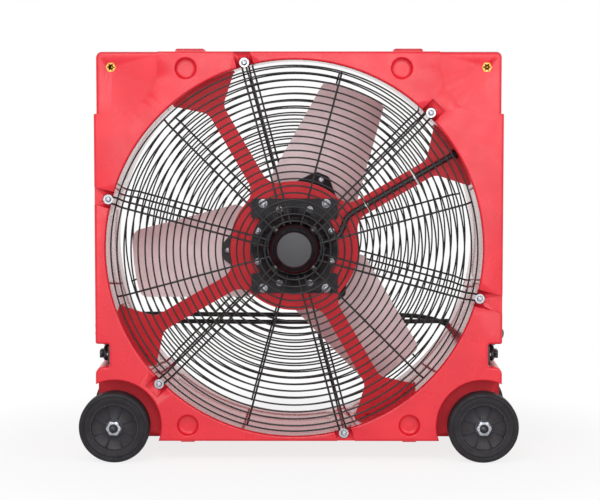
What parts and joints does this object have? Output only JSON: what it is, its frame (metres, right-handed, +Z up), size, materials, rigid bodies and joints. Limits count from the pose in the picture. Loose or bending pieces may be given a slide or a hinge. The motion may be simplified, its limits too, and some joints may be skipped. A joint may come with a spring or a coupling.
{
  "type": "axial air mover",
  "caption": "Wheeled axial air mover: square moulded housing with wire guards, motor on a plate spider, bladed impeller, and cable hooks in its side grooves.",
  "frame": {"origin": "on the floor, midway between the wheels and midway through the depth", "axes": "+Z up, the air inlet and motor face -Y, +X to the right seen from the front; the fan axis runs along Y"},
  "size_m": [0.7906, 0.3942, 0.742],
  "materials": {
    "red_housing": "satin",
    "brass": "machined",
    "black_wire": "gloss",
    "zinc": "satin",
    "red_steel": "gloss",
    "black_steel": "satin",
    "black_cast": "satin",
    "steel": "satin",
    "laminations": "matte",
    "copper": "gloss",
    "black_plastic": "satin",
    "grey_blade": "satin",
    "black_tyre": "matte",
    "wheel_grey": "satin",
    "black_rubber": "satin",
    "knob_black": "satin",
    "white_nylon": "satin"
  },
  "bodies": {
    "frame": {"housing": "red_housing", "brass_inserts": "brass", "front_guard": "black_wire", "rear_guard": "black_wire", "front_guard_screws": "zinc", "rear_guard_screws": "zinc", "front_guard_washers": "zinc", "rear_guard_washers": "zinc", "support_bolts": "zinc", "mount_plate_screws": "zinc", "motor_screws": "zinc", "axle_nuts": "zinc", "axle_washers": "zinc", "hook_screws": "zinc", "motor_support": "red_steel", "motor_mount_plate": "black_steel", "motor_body": "black_cast", "stator_core": "laminations", "stator_windings": "copper", "motor_bearings": "steel", "axle_studs": "steel", "motor_cap": "black_plastic", "switch_box": "black_plastic", "switch_unit": "black_plastic", "cable_hooks": "black_plastic", "motor_lead": "black_rubber", "lead_gland": "black_rubber", "lead_grommet": "black_rubber", "cord_gland": "black_rubber", "cable_ties": "white_nylon", "power_cord": "black_rubber", "power_plug": "black_rubber", "plug_pins": "steel"},
    "impeller": {"motor_shaft": "steel", "rotor_core": "laminations", "impeller_hub": "black_steel", "blade_1": "grey_blade", "blade_2": "grey_blade", "blade_3": "grey_blade", "blade_screws": "zinc", "hub_washer": "zinc", "hub_bolt": "zinc"},
    "front_left_wheel_set": {"front_left_tyre": "black_tyre", "front_left_wheel": "wheel_grey", "front_left_bush": "steel"},
    "front_right_wheel_set": {"front_right_tyre": "black_tyre", "front_right_wheel": "wheel_grey", "front_right_bush": "steel"},
    "rear_left_wheel_set": {"rear_left_tyre": "black_tyre", "rear_left_wheel": "wheel_grey", "rear_left_bush": "steel"},
    "rear_right_wheel_set": {"rear_right_tyre": "black_tyre", "rear_right_wheel": "wheel_grey", "rear_right_bush": "steel"},
    "switch": {"switch_knob": "knob_black"}
  },
  "joints": [
    {"name": "impeller_spin", "type": "hinge", "parent": "frame", "child": "impeller", "pos_m": [-0.008, 0, 0.383], "axis": [0, 1, 0], "continuous": true},
    {"name": "front_left_wheel_spin", "type": "hinge", "parent": "frame", "child": "front_left_wheel_set", "pos_m": [-0.331, -0.146, 0.0635], "axis": [0, 1, 0], "continuous": true},
    {"name": "front_right_wheel_spin", "type": "hinge", "parent": "frame", "child": "front_right_wheel_set", "pos_m": [0.331, -0.146, 0.0635], "axis": [0, 1, 0], "continuous": true},
    {"name": "rear_left_wheel_spin", "type": "hinge", "parent": "frame", "child": "rear_left_wheel_set", "pos_m": [-0.331, 0.146, 0.0635], "axis": [0, 1, 0], "continuous": true},
    {"name": "rear_right_wheel_spin", "type": "hinge", "parent": "frame", "child": "rear_right_wheel_set", "pos_m": [0.331, 0.146, 0.0635], "axis": [0, 1, 0], "continuous": true},
    {"name": "switch_turn", "type": "hinge", "parent": "frame", "child": "switch", "pos_m": [0.335, 0.136, 0.577], "axis": [0, 1, 0], "range_deg": [0, 90]}
  ]
}
